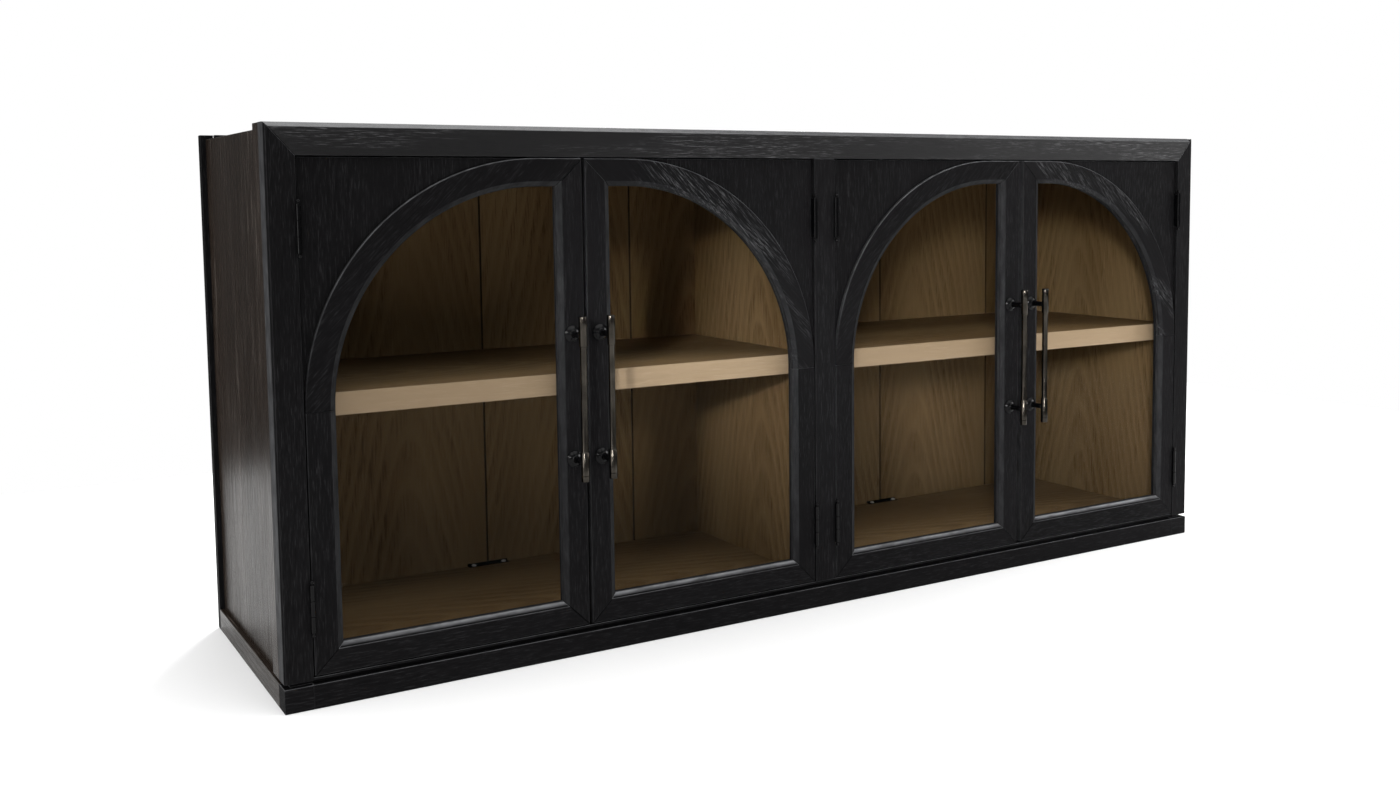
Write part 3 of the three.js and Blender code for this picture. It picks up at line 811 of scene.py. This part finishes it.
def add_floor_bracket(side, middle):
    """A small angle bracket that ties the bottom board to the back panel, with its two screws."""
    seat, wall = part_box("bottom_board")[1].z + CLEAR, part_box("back_panel")[0].y - CLEAR
    left, right = middle - BRACKET_HALF, middle + BRACKET_HALF
    bm = bmesh.new()
    brick(bm, (left, wall - BRACKET_LEG, seat), (right, wall, seat + BRACKET_SHEET))
    brick(bm, (left, wall - BRACKET_SHEET, seat + BRACKET_SHEET * 0.5), (right, wall, seat + BRACKET_RISE))
    add_piece(side + "_floor_bracket", turned_mesh("bracket", bm), "black_steel", "case")
    bm = bmesh.new()
    for offset in (-0.75 * BRACKET_HALF, 0.75 * BRACKET_HALF):
        place = Vector((middle + offset, wall - BRACKET_LEG * 0.6, seat + BRACKET_SHEET))
        revolve(bm, dome(4.2 * MM, 3.0 * MM), place, Z, 24)
    add_piece(side + "_bracket_screws", turned_mesh("screws", bm), "zinc", "case")


FOOT_INSET = 70 * MM
FOOT_BASE = [(0, 0), (14, 0), (15, 1), (15, 5), (13, 7), (6, 8)]   # millimetres
FOOT_STEM, FOOT_PLATE = 6 * MM, 17 * MM                            # radii


def add_centre_feet():
    """Two feet that carry the middle of the bottom board."""
    low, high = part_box("bottom_board")
    under = low.z - CLEAR
    profile = [(radius * MM, height * MM) for radius, height in FOOT_BASE]
    profile += [(FOOT_STEM, under - 3 * MM), (FOOT_PLATE, under - 2.7 * MM), (FOOT_PLATE, under), (0, under)]
    bm = bmesh.new()
    for y in (low.y + FOOT_INSET, high.y - FOOT_INSET):
        revolve(bm, profile, Vector((0, y, 0)), Z)
    add_piece("centre_feet", turned_mesh("feet", bm), "black_rubber", "case")


def add_fittings():
    part_low, part_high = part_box("centre_partition")
    floor_low, floor_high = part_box("bottom_board")
    ends = {"left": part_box("left_end_panel")[1].x, "right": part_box("right_end_panel")[0].x}
    for side, outward in SIDES.items():
        end_wall = (ends[side], -outward)
        inner_wall = (part_low.x if side == "left" else part_high.x, outward)
        add_shelf_pins(side, sorted((end_wall, inner_wall)))
        add_top_cleats(side, *end_wall)
    add_back_screws()
    add_floor_bracket("left", (floor_low.x + part_low.x) / 2)
    add_floor_bracket("right", (part_high.x + floor_high.x) / 2)
    add_centre_feet()


# ---- floor and light --------------------------------------------------------------------------
FLOOR_HALF = 2.7
FLOOR_PLACE = (0, -1.1, -0.4 * MM)


def add_floor():
    bm = bmesh.new()
    bmesh.ops.create_grid(bm, x_segments=8, y_segments=8, size=FLOOR_HALF)
    mesh = to_mesh("floor", bm)
    mesh.materials.append(pale_floor("floor"))
    floor = bpy.data.objects.new("floor", mesh)
    floor.location = FLOOR_PLACE
    bpy.context.scene.collection.objects.link(floor)


BRIGHT_SIDE = Vector((-0.30, -0.15, 0.94)).normalized()   # the studio's light comes from there
FILL = (0.05, 0.58)                                       # its strength away from there, and there
FILL_SPAN = (-0.35, 0.85)                                 # cosines from BRIGHT_SIDE between which it changes
OVERHEAD_POWER, OVERHEAD_ANGLE = 2.6, 80
SOFT_BOXES = {                # place, target, size, watts, spread in degrees
    "left": ((-3.2, -0.8, 0.9), (-0.9, -0.2, 0.4), (1.2, 1.4), 24, 180),
    "right_front": ((3.2, -1.7, 1.6), (0.8, 0.0, 0.6), (1.4, 1.2), 46, 180),
    "fill_right": ((-1.6, -2.6, 1.2), (0.85, 0.0, 0.42), (0.5, 0.5), 1.7, 22),
    "fill_left": ((-2.4, -2.4, 1.2), (-0.05, 0.0, 0.42), (0.3, 0.3), 0.5, 11),
    "high_front": ((1.7, -2.8, 2.4), (0.4, 0.0, 0.1), (4.0, 0.7), 9, 180),
    "high_back": ((0.1, 1.1, 2.6), (-0.4, -0.2, 0.8), (1.6, 0.8), 6, 180),
    "behind": ((1.6, 3.0, 1.4), (0.1, 0.3, 0.35), (1.6, 1.2), 55, 80),
}


def place_light(lamp, place, target):
    holder = bpy.data.objects.new(lamp.name, lamp)
    holder.location = place
    holder.rotation_euler = (Vector(target) - Vector(place)).to_track_quat("-Z", "Y").to_euler()
    holder.visible_camera = False
    bpy.context.scene.collection.objects.link(holder)


def add_soft_box(name, place, target, size, power, spread):
    lamp = bpy.data.lights.new(name, "AREA")
    lamp.spread = math.radians(spread)
    lamp.shape = "RECTANGLE"
    lamp.size, lamp.size_y = size
    lamp.energy = power
    place_light(lamp, place, target)


def add_studio():
    """A white backdrop for the camera, and for everything else a fill that is brighter on one side."""
    studio = bpy.data.worlds.new("studio")
    studio.use_nodes = True
    nodes, links = studio.node_tree.nodes, studio.node_tree.links
    nodes.clear()
    direction = nodes.new("ShaderNodeTexCoord")
    facing = nodes.new("ShaderNodeVectorMath")
    facing.operation = "DOT_PRODUCT"
    facing.inputs[1].default_value = BRIGHT_SIDE
    strength = nodes.new("ShaderNodeMapRange")
    strength.interpolation_type = "SMOOTHSTEP"
    for key, value in zip(("From Min", "From Max", "To Min", "To Max"), (*FILL_SPAN, *FILL)):
        strength.inputs[key].default_value = value
    fill = nodes.new("ShaderNodeBackground")
    seen = nodes.new("ShaderNodeBackground")
    for background in (fill, seen):
        background.inputs["Color"].default_value = rgb(1, 1, 1)
    path = nodes.new("ShaderNodeLightPath")
    mix = nodes.new("ShaderNodeMixShader")
    out = nodes.new("ShaderNodeOutputWorld")
    links.new(direction.outputs["Generated"], facing.inputs[0])
    links.new(facing.outputs["Value"], strength.inputs["Value"])
    links.new(strength.outputs[0], fill.inputs["Strength"])
    links.new(path.outputs["Is Camera Ray"], mix.inputs[0])
    links.new(fill.outputs[0], mix.inputs[1])
    links.new(seen.outputs[0], mix.inputs[2])
    links.new(mix.outputs[0], out.inputs[0])
    bpy.context.scene.world = studio


def add_light():
    bpy.context.scene.view_settings.view_transform = "Standard"
    add_studio()
    overhead = bpy.data.lights.new("overhead", "SUN")
    overhead.energy, overhead.angle = OVERHEAD_POWER, math.radians(OVERHEAD_ANGLE)
    place_light(overhead, (0, -0.4, 3), (0, 0, 0))
    for name, settings in SOFT_BOXES.items():
        add_soft_box(name, *settings)


add_camera()
add_case()
add_doors()
add_stops()
add_fittings()
add_floor()
add_light()
